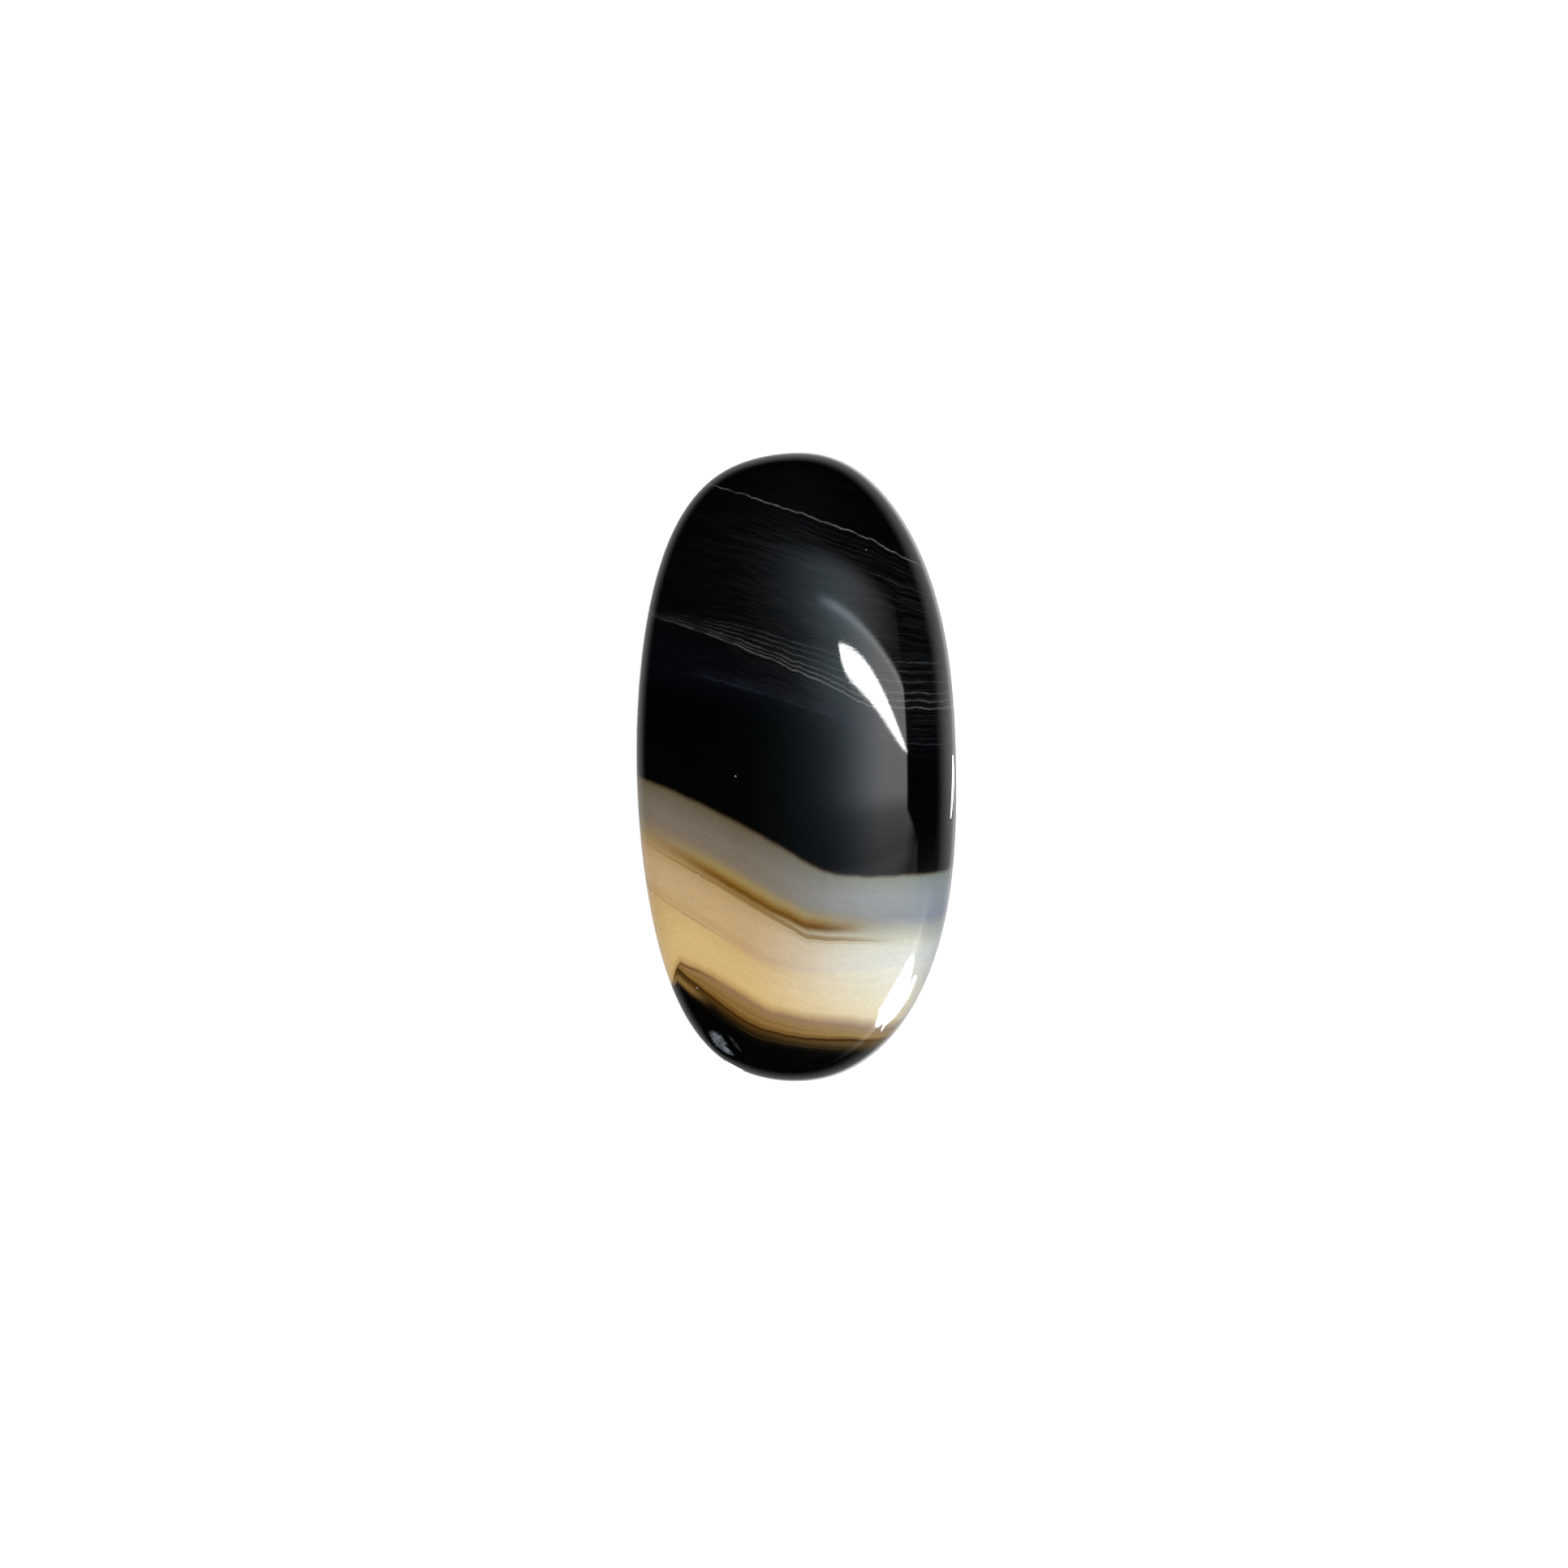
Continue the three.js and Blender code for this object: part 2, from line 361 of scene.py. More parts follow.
def waverBands(tree, inMm, along, up):
    # the bands waver: a slow swing a few millimetres long, and a quick tremble in the fine lines
    swingPlace = addNode(tree, "ShaderNodeMapping", links={0: inMm, "Scale": bands["swingWaves"]})
    swing = addNode(tree, "ShaderNodeTexNoise", {"noise_dimensions": "3D"},
                    {"Vector": swingPlace, "Scale": 1.0, "Detail": 3.0, "Roughness": 0.6})
    swung = addNode(tree, "ShaderNodeMath", {"operation": "MULTIPLY_ADD"},
                    {0: swing.outputs[0], 1: bands["swing"], 2: bands["swing"] * -0.5})
    dipped = addNode(tree, "ShaderNodeMath", {"operation": "MULTIPLY_ADD"},
                     {0: up, 1: bands["dip"], 2: along})
    height = addNode(tree, "ShaderNodeMath", {"operation": "ADD"}, {0: dipped, 1: swung})
    quickPlace = addNode(tree, "ShaderNodeMapping", links={0: inMm, "Scale": bands["trembleWaves"]})
    quick = addNode(tree, "ShaderNodeTexNoise", {"noise_dimensions": "3D"},
                    {"Vector": quickPlace, "Scale": 1.0, "Detail": 4.0, "Roughness": 0.65})
    trembled = addNode(tree, "ShaderNodeMath", {"operation": "MULTIPLY_ADD"},
                       {0: quick.outputs[0], 1: bands["tremble"] * 2, 2: -bands["tremble"]})
    return height, trembled


def layerEdges(tree, across):
    # each edge stays below the one before, so a layer that runs out pinches to nothing
    top = bandHeight(tree, across, layers[1]["edge"])
    over = addNode(tree, "ShaderNodeMath", {"operation": "ADD"}, {0: top, 1: bands["capReach"]})
    edges = [over, top]
    for layer in layers[2:]:
        own = bandHeight(tree, across, layer["edge"])
        if "droop" in layer:
            place, amount = layer["droop"]
            beyond = addNode(tree, "ShaderNodeMath", {"operation": "SUBTRACT"}, {0: place, 1: across})
            past = addNode(tree, "ShaderNodeMath", {"operation": "MAXIMUM"}, {0: beyond, 1: 0.0})
            curl = addNode(tree, "ShaderNodeMath", {"operation": "MULTIPLY"}, {0: past, 1: -amount})
            own = addNode(tree, "ShaderNodeMath", {"operation": "MULTIPLY_ADD"},
                          {0: past, 1: curl, 2: own})
        least = addNode(tree, "ShaderNodeMath", {"operation": "SUBTRACT"},
                        {0: edges[-1], 1: bands["thinnest"]})
        edges.append(addNode(tree, "ShaderNodeMath", {"operation": "MINIMUM"}, {0: own, 1: least}))
    edges.append(addNode(tree, "ShaderNodeMath", {"operation": "SUBTRACT"},
                         {0: edges[-1], 1: bands["capReach"]}))
    return edges


def layerColours(tree, across, height, edges):
    # brown and honey on the left, light grey and milky on the right; depth counts the millimetres
    # down through the layers, so that grain laid out by it runs along the bands
    paleFrom, paleTo = bands["turnsPale"]
    rightward = addNode(tree, "ShaderNodeMapRange", {"interpolation_type": "SMOOTHSTEP"},
                        {"Value": across, "From Min": paleFrom, "From Max": paleTo})
    colour = None
    depth = 0.0
    for layer, start, end in zip(layers, edges, edges[1:]):
        share = addNode(tree, "ShaderNodeMapRange", {},
                        {"Value": height, "From Min": start, "From Max": end})
        depth = addNode(tree, "ShaderNodeMath", {"operation": "MULTIPLY_ADD"},
                        {0: share, 1: layer["thick"], 2: depth})
        mixed = addNode(tree, "ShaderNodeMix", {"data_type": "RGBA"},
                        {"Factor": rightward,
                         6: colourRamp(tree, share, layer["left"]),
                         7: colourRamp(tree, share, layer["right"])})
        if colour is None:
            colour = mixed.outputs[2]
            continue
        reached = addNode(tree, "ShaderNodeMath", {"operation": "GREATER_THAN"}, {0: share, 1: 0.0})
        colour = addNode(tree, "ShaderNodeMix", {"data_type": "RGBA"},
                         {"Factor": reached, 6: colour, 7: mixed.outputs[2]}).outputs[2]
    return colour, depth


def addVeins(tree, across, height, trembled, edges, colour):
    # each line is a soft stripe about a height between two edges, faded in and out across the stone;
    # the ones in the dark part tremble more
    names = [layer["name"] for layer in layers]
    quick = addNode(tree, "ShaderNodeMath", {"operation": "ADD"}, {0: height, 1: trembled})
    rightward = addNode(tree, "ShaderNodeMapRange", {"interpolation_type": "SMOOTHSTEP"},
                        {"Value": across, "From Min": -2.5, "From Max": 2.0})
    # no line is equally strong all along
    place = addNode(tree, "ShaderNodeCombineXYZ", links={0: across, 1: quick})
    patches = addNode(tree, "ShaderNodeTexNoise", {"noise_dimensions": "3D"},
                      {"Vector": place, "Scale": 0.9, "Detail": 3.0, "Roughness": 0.65})
    patchy = addNode(tree, "ShaderNodeMapRange", {},
                     {"Value": patches, "From Min": 0.36, "From Max": 0.56, "To Min": 0.30})
    for name, at, halfWide, code, strength, span in veins:
        i = names.index(name)
        share = addNode(tree, "ShaderNodeMapRange", {},
                        {"Value": rightward, "To Min": at[0], "To Max": at[1]})
        middle = addNode(tree, "ShaderNodeMapRange", {"clamp": False},
                         {"Value": share, "To Min": edges[i], "To Max": edges[i + 1]})
        own = quick if i < names.index("greyBand") else height
        off = addNode(tree, "ShaderNodeMath", {"operation": "SUBTRACT"}, {0: own, 1: middle})
        distance = addNode(tree, "ShaderNodeMath", {"operation": "ABSOLUTE"}, {0: off})
        shown = addNode(tree, "ShaderNodeMapRange", {"interpolation_type": "SMOOTHSTEP"},
                        {"Value": distance, "From Max": halfWide, "To Min": strength, "To Max": 0.0})
        if own is quick:
            shown = addNode(tree, "ShaderNodeMath", {"operation": "MULTIPLY"}, {0: shown, 1: patchy})
        for start, end in ((span[0], span[1]), (span[3], span[2])):
            fade = addNode(tree, "ShaderNodeMapRange", {"interpolation_type": "SMOOTHSTEP"},
                           {"Value": across, "From Min": start, "From Max": end})
            shown = addNode(tree, "ShaderNodeMath", {"operation": "MULTIPLY"}, {0: shown, 1: fade})
        colour = addNode(tree, "ShaderNodeMix", {"data_type": "RGBA"},
                         {"Factor": shown, 6: colour, 7: hexColour(code)}).outputs[2]
    return colour


def addFibre(tree, inMm, across, up, depth, trembled, colour):
    # quartz fibre packed in thin sheets: fine streaks along the bands, and a fine grain over all
    waver = addNode(tree, "ShaderNodeMath", {"operation": "SUBTRACT"}, {0: depth, 1: trembled})
    perMm = fibre["sheetWaves"]
    acrossWaves = addNode(tree, "ShaderNodeMath", {"operation": "MULTIPLY"}, {0: across, 1: perMm[0]})
    sheetWaves = addNode(tree, "ShaderNodeMath", {"operation": "MULTIPLY"}, {0: waver, 1: perMm[1]})
    upWaves = addNode(tree, "ShaderNodeMath", {"operation": "MULTIPLY"}, {0: up, 1: perMm[2]})
    sheets = addNode(tree, "ShaderNodeCombineXYZ", links={0: acrossWaves, 1: sheetWaves, 2: upWaves})
    streaks = addNode(tree, "ShaderNodeTexNoise", {"noise_dimensions": "3D"},
                      {"Vector": sheets, "Scale": 1.0, "Detail": 4.0, "Roughness": 0.7, "Distortion": 0.3})
    grain = addNode(tree, "ShaderNodeTexNoise", {"noise_dimensions": "3D"},
                    {"Vector": inMm, "Scale": fibre["grainWaves"], "Detail": 2.0, "Roughness": 0.7})
    grained = addNode(tree, "ShaderNodeMath", {"operation": "MULTIPLY"},
                      {0: grain.outputs[0], 1: fibre["grainGain"]})
    both = addNode(tree, "ShaderNodeMath", {"operation": "MULTIPLY_ADD"},
                   {0: streaks.outputs[0], 1: fibre["streakGain"], 2: grained})
    gain = addNode(tree, "ShaderNodeMath", {"operation": "ADD"}, {0: both, 1: fibre["leastGain"]})

    # the dark layers also glimmer faintly, in finer threads that fade out up, down and to the left
    threads = addNode(tree, "ShaderNodeMapping", links={0: sheets, "Scale": fibre["weaveWaves"]})
    weave = addNode(tree, "ShaderNodeTexNoise", {"noise_dimensions": "3D"},
                    {"Vector": threads, "Scale": 1.0, "Detail": 3.0, "Roughness": 0.6, "Distortion": 0.35})
    begins = addNode(tree, "ShaderNodeMapRange", {"interpolation_type": "SMOOTHSTEP"},
                     {"Value": depth, "From Min": fibre["weaveBegins"][0],
                      "From Max": fibre["weaveBegins"][1], "To Min": fibre["weaveLeast"]})
    ends = addNode(tree, "ShaderNodeMapRange", {"interpolation_type": "SMOOTHSTEP"},
                   {"Value": depth, "From Min": fibre["weaveEnds"][0],
                    "From Max": fibre["weaveEnds"][1], "To Min": 1.0, "To Max": fibre["weaveLeast"]})
    inward = addNode(tree, "ShaderNodeMapRange", {"interpolation_type": "SMOOTHSTEP"},
                     {"Value": across, "From Min": fibre["weaveAcross"][0],
                      "From Max": fibre["weaveAcross"][1], "To Min": 0.12})
    inLayers = addNode(tree, "ShaderNodeMath", {"operation": "MULTIPLY"}, {0: begins, 1: ends})
    woven = addNode(tree, "ShaderNodeMath", {"operation": "MULTIPLY"}, {0: inLayers, 1: inward})
    bright = addNode(tree, "ShaderNodeMapRange", {},
                     {"Value": weave.outputs[0], "From Min": 0.44, "From Max": 0.72,
                      "To Max": fibre["weaveBright"]})
    glimmer = addNode(tree, "ShaderNodeMath", {"operation": "MULTIPLY"}, {0: bright, 1: woven})
    scaled = addNode(tree, "ShaderNodeVectorMath", {"operation": "SCALE"}, {0: colour, "Scale": gain})
    streaked = addNode(tree, "ShaderNodeVectorMath", {"operation": "ADD"}, {0: scaled, 1: glimmer})
    return streaked, streaks, grain


def coolEdge(tree, across, colour):
    # towards the right edge the pale layers look a little bluer
    cool = addNode(tree, "ShaderNodeMapRange", {"interpolation_type": "SMOOTHSTEP"},
                   {"Value": across, "From Min": edgeCool["from"], "From Max": edgeCool["to"]})
    cooled = addNode(tree, "ShaderNodeMix", {"data_type": "RGBA", "blend_type": "MULTIPLY"},
                     {"Factor": cool, 6: colour, 7: edgeCool["tint"]})
    return cooled.outputs[2]


def addDust(tree, inMm, colour):
    # a few pale specks of trapped dust, about a tenth of a millimetre across
    cells = addNode(tree, "ShaderNodeTexVoronoi", {"voronoi_dimensions": "3D"},
                    {"Vector": inMm, "Scale": dust["cells"]})
    near = addNode(tree, "ShaderNodeMath", {"operation": "LESS_THAN"},
                   {0: cells.outputs["Distance"], 1: dust["radius"] * dust["cells"]})
    speck = addNode(tree, "ShaderNodeMath", {"operation": "MULTIPLY"}, {0: near, 1: dust["strength"]})
    dusted = addNode(tree, "ShaderNodeMix", {"data_type": "RGBA"},
                     {"Factor": speck, 6: colour, 7: hexColour(dust["colour"])})
    return dusted.outputs[2]


def addFrostAndPaintedReflection(tree, inMm, colour):
    # the pit's rough skin: real roughness, plus a bluish grey painted into the colour as painted reflection
    # of the light it scatters where the polish around it is black
    wobble = addNode(tree, "ShaderNodeTexNoise", {"noise_dimensions": "3D"},
                     {"Vector": inMm, "Scale": 4.0, "Detail": 3.0, "Roughness": 0.6})
    rasp = 0.0
    for patch in frostAndPaintedReflection:
        turn = math.radians(patch["turn"])
        placed = addNode(tree, "ShaderNodeMapping", {"vector_type": "TEXTURE"},
                         {0: inMm, "Location": (*patch["place"], 0.0), "Rotation": (0, 0, turn),
                          "Scale": (*patch["half"], 100.0)})
        reach = addNode(tree, "ShaderNodeVectorMath", {"operation": "LENGTH"}, {0: placed}).outputs["Value"]
        centred = addNode(tree, "ShaderNodeMath", {"operation": "SUBTRACT"}, {0: reach, 1: 0.6})
        ragged = addNode(tree, "ShaderNodeMath", {"operation": "MULTIPLY_ADD"},
                         {0: wobble.outputs[0], 1: 1.2, 2: centred})
        covered = addNode(tree, "ShaderNodeMapRange", {"interpolation_type": "SMOOTHSTEP"},
                          {"Value": ragged, "From Min": 0.62, "From Max": 1.18,
                           "To Min": patch["strength"], "To Max": 0.0})
        rasp = addNode(tree, "ShaderNodeMath", {"operation": "MAXIMUM"}, {0: covered, 1: rasp})
    mottle = addNode(tree, "ShaderNodeTexNoise", {}, {"Vector": inMm, "Scale": 5.0, "Detail": 3.0})
    uneven = addNode(tree, "ShaderNodeMapRange", {},
                     {"Value": mottle,
                      "From Min": 0.38, "From Max": 0.60, "To Min": 0.25, "To Max": 1.0})
    # painted reflection: how strongly the bluish grey is painted over the pit's rough patches
    paintedReflectionMask = addNode(tree, "ShaderNodeMath", {"operation": "MULTIPLY"}, {0: rasp, 1: uneven})
    paintedReflectionColour = addNode(tree, "ShaderNodeMix", {"data_type": "RGBA"},
                      {"Factor": paintedReflectionMask, 6: colour, 7: hexColour("6d747b")})
    return paintedReflectionColour.outputs[2], rasp


def polishedAgate():
    # Chalcedony, ground and polished to a gloss: a hard clear skin that mirrors the lights, over
    # bands of fine quartz fibre that are smoky black above and honey to pale grey below.
    material = bpy.data.materials.new("polishedBandedChalcedony")
    material.use_nodes = True
    tree = material.node_tree
    tree.nodes.clear()
    coordinate = addNode(tree, "ShaderNodeTexCoord")
    inMm = addNode(tree, "ShaderNodeVectorMath", {"operation": "SCALE"},
                   {0: coordinate.outputs["Object"], "Scale": 1000.0})
    across, along, up = addNode(tree, "ShaderNodeSeparateXYZ", links={0: inMm}).outputs

    height, trembled = waverBands(tree, inMm, along, up)
    edges = layerEdges(tree, across)
    colour, depth = layerColours(tree, across, height, edges)
    colour = addVeins(tree, across, height, trembled, edges, colour)
    colour, streaks, grain = addFibre(tree, inMm, across, up, depth, trembled, colour)
    colour = coolEdge(tree, across, colour)
    colour = addDust(tree, inMm, colour)
    # the pit's rough patches: real roughness, and a painted reflection mixed into the colour
    colour, rasp = addFrostAndPaintedReflection(tree, inMm, colour)

    # the polish: nearly a mirror, cut a little deeper between the hard and soft sheets; the flat
    # back is only ground, so it is satin
    polish = addNode(tree, "ShaderNodeMapRange", {},
                     {"Value": grain.outputs[0], "From Min": 0.3, "From Max": 0.7,
                      "To Min": skin["gloss"][0], "To Max": skin["gloss"][1]})
    ground = addNode(tree, "ShaderNodeMapRange", {},
                     {"Value": up, "From Min": 0.05, "From Max": 0.30,
                      "To Min": skin["satin"], "To Max": 0.0})
    raspRough = addNode(tree, "ShaderNodeMath", {"operation": "MULTIPLY_ADD"},
                        {0: rasp, 1: skin["rasp"], 2: ground})
    rough = addNode(tree, "ShaderNodeMath", {"operation": "ADD"}, {0: polish, 1: raspRough})
    relief = addNode(tree, "ShaderNodeBump", {},
                     {"Height": streaks.outputs[0], "Strength": 1.0, "Distance": skin["relief"] * mm})
    surface = addNode(tree, "ShaderNodeBsdfPrincipled", {},
                      {"Base Color": colour, "Roughness": rough, "IOR": skin["ior"], "Normal": relief})
    addNode(tree, "ShaderNodeOutputMaterial", links={"Surface": surface})
    return material


studio = {
    "floorHalf": 1.5,          # metres
    "keyStrength": 3.0,
    "keyAngle": 14,            # degrees across the soft light overhead
    "fillStrength": 0.7,
    "fillAngle": 150,
    "cameraHeight": 220.4,     # millimetres above the stone's widest line
    "lens": 80,
    "aim": (-0.79, -1.08),     # millimetres from the stone's middle
}


def addSun(name, strength, angle):
    # a lamp straight overhead that lights the stone and table but isn't mirrored in the polish
    lamp = bpy.data.lights.new(name, "SUN")
    lamp.energy = strength
    lamp.angle = math.radians(angle)
    lampObject = bpy.data.objects.new(name, lamp)
    lampObject.visible_glossy = False
    bpy.context.scene.collection.objects.link(lampObject)


def makeFloor():
    half = studio["floorHalf"]
    mesh = bpy.data.meshes.new("floor")
    corners = [(-half, -half, 0), (half, -half, 0), (half, half, 0), (-half, half, 0)]
    mesh.from_pydata(corners, [], [(0, 1, 2, 3)])
    floor = bpy.data.objects.new("floor", mesh)
    bpy.context.scene.collection.objects.link(floor)
    material = bpy.data.materials.new("mattWhiteCard")
    material.use_nodes = True
    shader = material.node_tree.nodes["Principled BSDF"]
    shader.inputs["Base Color"].default_value = hexColour("fcfcfc")
    shader.inputs["Roughness"].default_value = 0.9
    shader.inputs["Specular IOR Level"].default_value = 0.0
    mesh.materials.append(material)
    # the polish mirrors the paler and darker table of makeSky instead
    floor.visible_glossy = False


# Lamps seen only as mirror images in the polish, at a reach from a place, both in millimetres, and
# how bright. Directions are (azimuth, height) in whole degrees, as seen from that place. A leaf has
# two tips, and each side bends towards two more directions; the others have corners, going round.
windows = {
    "tallWindow": {
        "bright": 26, "place": (0, 0, 0), "reach": 400,
        "tips": [(54, 71), (3, 44)],
        "bends": [[(31, 65), (10, 55)], [(4, 56), (30, 77)]],
    },
    "sideWindow": {
        "bright": 26, "place": (7, -14, 3), "reach": 30,
        "corners": [(-19, 31), (-24, 39), (-34, 43), (-50, 46), (-52, 40), (-49, 25), (-38, 3),
                    (-31, -4), (-28, -3), (-25, 8), (-21, 18)],
    },
    "sideStrip": {
        "bright": 26, "place": (7, -14, 3), "reach": 5,
        "corners": [(-88, 35), (-88, 22), (-82, 13), (-73, 11), (-83, -8), (-73, -6), (-57, -20),
                    (-36, -28), (-13, -22), (-14, -8), (-27, -8), (-34, 8), (-49, 11), (-67, 25)],
    },
}


# Strips of white card stood against the stone's foot, seen only as thin glints low on its side:
# millimetres from the stone's middle, going round, all at one height.
glints = {
    "rightGlint": {
        "bright": 8, "height": 0.3,
        "corners": [(10.24, 0.75), (10.40, 0.75), (10.62, -0.8), (10.78, -2.0), (10.98, -3.3),
                    (10.78, -3.3), (10.34, -2.0), (10.22, -0.8)],
    },
    "lowerGlint": {
        "bright": 8, "height": 0.3,
        "corners": [(-4.85, -19.00), (-4.25, -19.15), (-3.55, -19.45), (-3.62, -19.95), (-4.55, -19.75)],
    },
}


def addCard(name, points, bright):
    mesh = bpy.data.meshes.new(name)
    mesh.from_pydata(points, [], [tuple(range(len(points)))])
    material = bpy.data.materials.new(name + "Glow")
    material.use_nodes = True
    tree = material.node_tree
    tree.nodes.clear()
    glow = addNode(tree, "ShaderNodeEmission", links={"Strength": float(bright)})
    addNode(tree, "ShaderNodeOutputMaterial", links={"Surface": glow})
    mesh.materials.append(material)
    card = bpy.data.objects.new(name, mesh)
    card.visible_camera = False
    card.visible_diffuse = False
    card.visible_shadow = False
    bpy.context.scene.collection.objects.link(card)


def makeGlint(name, glint):
    points = [(x * mm, y * mm, glint["height"] * mm) for x, y in glint["corners"]]
    addCard(name, points, glint["bright"])


def leafCorners(tips, bends):
    # each side is a cubic curve from one tip to the other:
    # start * (1 - t) ** 3 + first * 3 * t * (1 - t) ** 2 + second * 3 * t ** 2 * (1 - t) + end * t ** 3
    t = np.linspace(0, 1, 13)[:-1, None]
    sides = []
    for start, (first, second), end in ((tips[0], bends[0], tips[1]), (tips[1], bends[1], tips[0])):
        start, first, second, end = np.array([start, first, second, end], float)
        sides.append(start * (1 - t) ** 3 + first * 3 * t * (1 - t) ** 2
                     + second * 3 * t ** 2 * (1 - t) + end * t ** 3)
    return np.concatenate(sides)


def makeWindow(name, window):
    if "tips" in window:
        corners = leafCorners(window["tips"], window["bends"])
    else:
        corners = window["corners"]
    angles = np.radians(np.array(corners, float))
    around, up = angles[:, 0], angles[:, 1]
    ways = np.stack([np.cos(up) * np.cos(around), np.cos(up) * np.sin(around), np.sin(up)], axis=-1)
    addCard(name, (np.array(window["place"]) + window["reach"] * ways) * mm, window["bright"])


# The mirrored surroundings, in degrees that a direction leans right and up from overhead.
surroundings = {
    "tableFade": (0.30, -0.50),   # sines of the heights between which the mirrored table pales
    "tableBright": (0.66, -0.22, 0.17),   # in the middle, and what is added rightward and upward
    "side": {"centre": (34, 0), "spread": (19, 14), "bright": 2.75},
    "corner": {"centre": (8, 11), "spread": (9, 5), "bright": 0.45},
    "upper": {"centre": (16, 21), "spread": (19, 60), "bright": 0.95},
    "faint": {"centre": (0, 5), "spread": (15, 25), "bright": 0.10},
    "halo": {"centre": (54, -42), "spread": (13, 12), "bright": 4.0},
    "pane": {"right": (5.6, 6.4), "top": (-11.0, -13.0), "bottom": (-27.0, -23.0), "bright": 0.3},
    "arch": {"top": 19.5, "fall": 0.0033, "turnsDown": 44.5, "quickness": 1.8, "least": -2.0,
             "wide": 0.65, "bright": 2.6},
    "edge": (45.6, 44.2),         # where the soft glow ends on the right
    "edgeAbove": (6.0, 26.0, -2.2),   # from and to which upward lean the edge moves, and how far
    "edgeBelow": (-6.0, -11.5, 8.0),
}


def makeSky():
    # dark overhead so that the dome mirrors black, pale along the horizon, and one soft glow on the
    # right that ends in a thin bright arch above and an upright edge at the side
    world = bpy.data.worlds.new("studioDark")
    bpy.context.scene.world = world
    world.use_nodes = True
    world.cycles_visibility.diffuse = False
    tree = world.node_tree
    tree.nodes.clear()
    direction = addNode(tree, "ShaderNodeTexCoord").outputs["Generated"]
    x, y, z = addNode(tree, "ShaderNodeSeparateXYZ", links={0: direction}).outputs
    base, moreRight, moreUp = surroundings["tableBright"]
    part = addNode(tree, "ShaderNodeMath", {"operation": "MULTIPLY_ADD"}, {0: x, 1: moreRight, 2: base})
    table = addNode(tree, "ShaderNodeMath", {"operation": "MULTIPLY_ADD"}, {0: y, 1: moreUp, 2: part})
    horizon = addNode(tree, "ShaderNodeMapRange", {"interpolation_type": "SMOOTHSTEP"},
                      {"Value": z, "From Min": surroundings["tableFade"][0],
                       "From Max": surroundings["tableFade"][1], "To Max": table})
    leans = []
    for part in (x, y):
        angle = addNode(tree, "ShaderNodeMath", {"operation": "ARCTAN2"}, {0: part, 1: z})
        leans.append(addNode(tree, "ShaderNodeMath", {"operation": "DEGREES"}, {0: angle}))
    right, upward = leans

    def bell(value, middle, wide):
        off = addNode(tree, "ShaderNodeMath", {"operation": "SUBTRACT"}, {0: value, 1: middle})
        share = addNode(tree, "ShaderNodeMath", {"operation": "DIVIDE"}, {0: off, 1: wide})
        square = addNode(tree, "ShaderNodeMath", {"operation": "MULTIPLY"}, {0: share, 1: share})
        negative = addNode(tree, "ShaderNodeMath", {"operation": "MULTIPLY"}, {0: square, 1: -1.0})
        return addNode(tree, "ShaderNodeMath", {"operation": "EXPONENT"}, {0: negative})

    def product(*values):
        result = values[0]
        for value in values[1:]:
            result = addNode(tree, "ShaderNodeMath", {"operation": "MULTIPLY"}, {0: result, 1: value})
        return result

    def glow(name, rightValue, upValue):
        one = surroundings[name]
        return product(bell(rightValue, one["centre"][0], one["spread"][0]),
                       bell(upValue, one["centre"][1], one["spread"][1]), one["bright"])

    def step(value, start, end):
        return addNode(tree, "ShaderNodeMapRange", {"interpolation_type": "SMOOTHSTEP"},
                       {"Value": value, "From Min": start, "From Max": end})

    # the arch: top - fall * right ** 2 - exp((right - turnsDown) / quickness), and never under least
    bow = surroundings["arch"]
    late = addNode(tree, "ShaderNodeMath", {"operation": "SUBTRACT"}, {0: right, 1: bow["turnsDown"]})
    shareLate = addNode(tree, "ShaderNodeMath", {"operation": "DIVIDE"}, {0: late, 1: bow["quickness"]})
    steep = addNode(tree, "ShaderNodeMath", {"operation": "EXPONENT"}, {0: shareLate})
    rightSquare = addNode(tree, "ShaderNodeMath", {"operation": "MULTIPLY"}, {0: right, 1: right})
    slow = addNode(tree, "ShaderNodeMath", {"operation": "MULTIPLY_ADD"},
                   {0: rightSquare, 1: -bow["fall"], 2: bow["top"]})
    fallen = addNode(tree, "ShaderNodeMath", {"operation": "SUBTRACT"}, {0: slow, 1: steep})
    arch = addNode(tree, "ShaderNodeMath", {"operation": "MAXIMUM"}, {0: fallen, 1: bow["least"]})
    overArch = addNode(tree, "ShaderNodeMath", {"operation": "SUBTRACT"}, {0: upward, 1: arch})

    # the glow inside the arch: it dims downward, on a shelf, and sooner at the far right
    held = addNode(tree, "ShaderNodeMath", {"operation": "MINIMUM"}, {0: right, 1: 34.0})
    heldUp = addNode(tree, "ShaderNodeMath", {"operation": "MINIMUM"}, {0: upward, 1: 0.0})
    shelf = product(step(upward, -6.5, -2.5), 0.45)
    tail = addNode(tree, "ShaderNodeMath", {"operation": "MULTIPLY_ADD"},
                   {0: bell(heldUp, 0.0, 14.0), 1: 0.55, 2: shelf})
    beyond = addNode(tree, "ShaderNodeMath", {"operation": "SUBTRACT"}, {0: right, 1: 38.0})
    sideward = addNode(tree, "ShaderNodeMath", {"operation": "MAXIMUM"}, {0: beyond, 1: 0.0})
    lowered = addNode(tree, "ShaderNodeMath", {"operation": "MULTIPLY_ADD"},
                      {0: sideward, 1: -0.9, 2: upward})
    inside = product(glow("side", held, 0.0), tail, step(overArch, 1.2, -1.2), step(lowered, -25.0, -15.0))
    line = product(bell(overArch, 0.0, bow["wide"]), step(right, 1.0, 12.0), bow["bright"])
    above = product(glow("upper", right, upward), step(upward, 13.0, 20.0), step(upward, 27.0, 23.0))
    light = addNode(tree, "ShaderNodeMath", {"operation": "ADD"}, {0: inside, 1: line})
    for more in (above, glow("corner", right, upward), glow("faint", right, upward)):
        light = addNode(tree, "ShaderNodeMath", {"operation": "ADD"}, {0: light, 1: more})

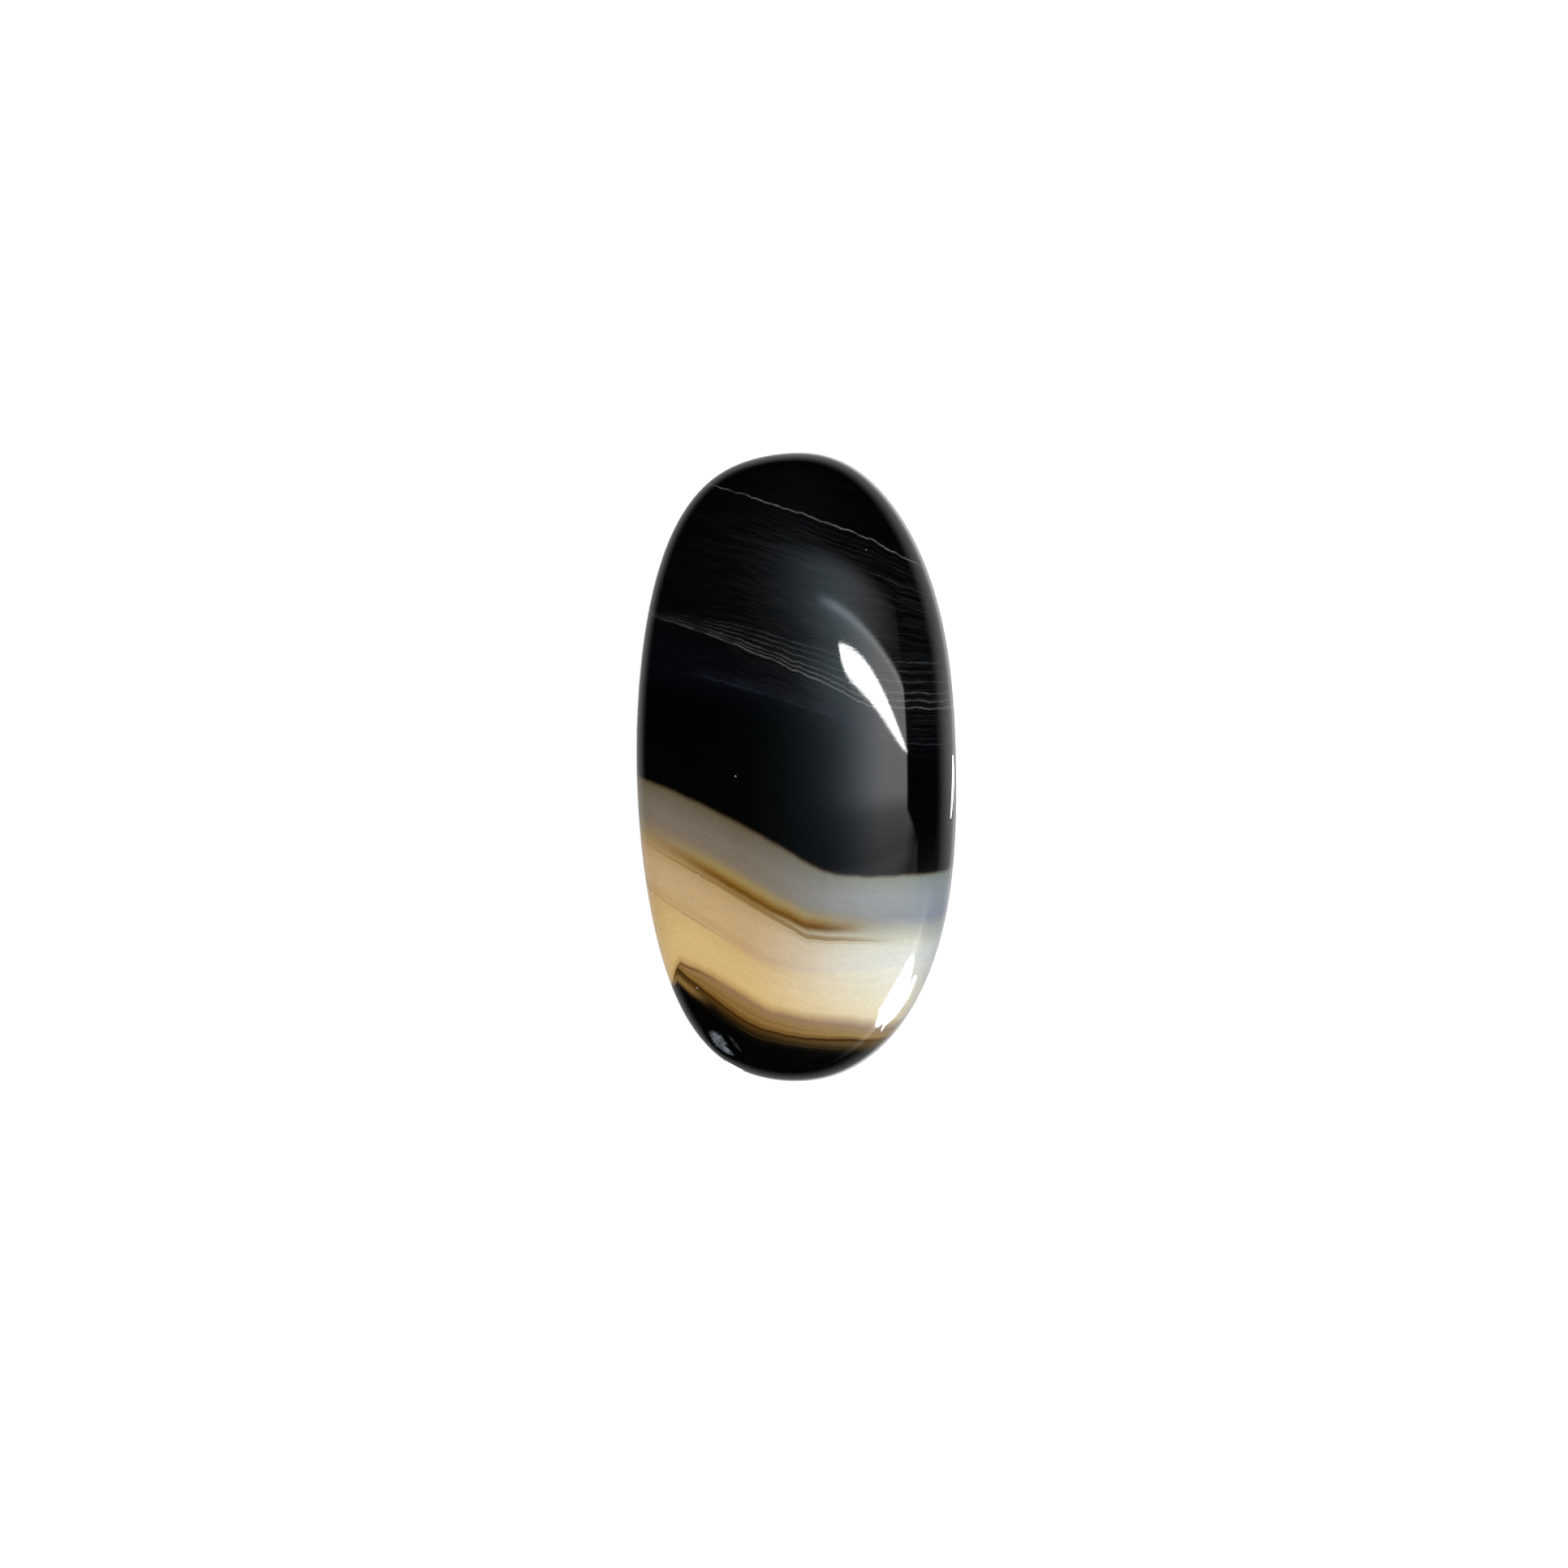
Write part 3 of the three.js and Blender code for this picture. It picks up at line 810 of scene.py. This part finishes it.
    # a second, much dimmer pane low down, seen as one upright line
    low = surroundings["pane"]
    pane = product(step(right, *low["right"]), step(upward, *low["top"]), step(upward, *low["bottom"]),
                   low["bright"])
    light = addNode(tree, "ShaderNodeMath", {"operation": "ADD"}, {0: light, 1: pane})

    # the upright edge leans left above and steps right below
    edge = 0.0
    for start, end, shift in (surroundings["edgeAbove"], surroundings["edgeBelow"]):
        lean = addNode(tree, "ShaderNodeMapRange", {},
                       {"Value": upward, "From Min": start, "From Max": end, "To Max": shift})
        edge = addNode(tree, "ShaderNodeMath", {"operation": "ADD"}, {0: lean, 1: edge})
    overEdge = addNode(tree, "ShaderNodeMath", {"operation": "SUBTRACT"}, {0: right, 1: edge})
    kept = product(light, step(overEdge, *surroundings["edge"]))
    tint = addNode(tree, "ShaderNodeMix", {"data_type": "RGBA"},
                   {"Factor": step(right, 6.0, 34.0), 6: (0.78, 1.0, 1.15, 1.0), 7: (0.97, 1.0, 1.01, 1.0)})
    halo = glow("halo", right, upward)
    lit = addNode(tree, "ShaderNodeMath", {"operation": "ADD"}, {0: kept, 1: halo})
    coloured = addNode(tree, "ShaderNodeVectorMath", {"operation": "SCALE"},
                       {0: tint.outputs[2], "Scale": lit})
    total = addNode(tree, "ShaderNodeVectorMath", {"operation": "ADD"}, {0: coloured, 1: horizon})
    background = addNode(tree, "ShaderNodeBackground", links={"Color": total, "Strength": 1.0})
    addNode(tree, "ShaderNodeOutputWorld", links={"Surface": background})


def makeCamera():
    data = bpy.data.cameras.new("camera")
    data.lens = studio["lens"]
    data.sensor_width = 36
    data.clip_start = 0.001
    camera = bpy.data.objects.new("camera", data)
    low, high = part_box("agate_stone")
    middle = [(low[i] + high[i]) / 2 for i in (0, 1)]
    camera.location = (middle[0] + studio["aim"][0] * mm, middle[1] + studio["aim"][1] * mm,
                       low[2] + (0.9 + studio["cameraHeight"]) * mm)
    bpy.context.scene.collection.objects.link(camera)
    bpy.context.scene.camera = camera


agateStone = makeStone()
agateStone.data.materials.append(polishedAgate())
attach(agateStone, "root")
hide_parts("agate_stone")
print("stone made:", len(agateStone.data.polygons), "faces")

makeFloor()
addSun("keyLight", studio["keyStrength"], studio["keyAngle"])
addSun("fillLight", studio["fillStrength"], studio["fillAngle"])
for name, window in windows.items():
    makeWindow(name, window)
for name, glint in glints.items():
    makeGlint(name, glint)
makeSky()
makeCamera()
bpy.context.scene.view_settings.view_transform = "Standard"
print("studio ready")
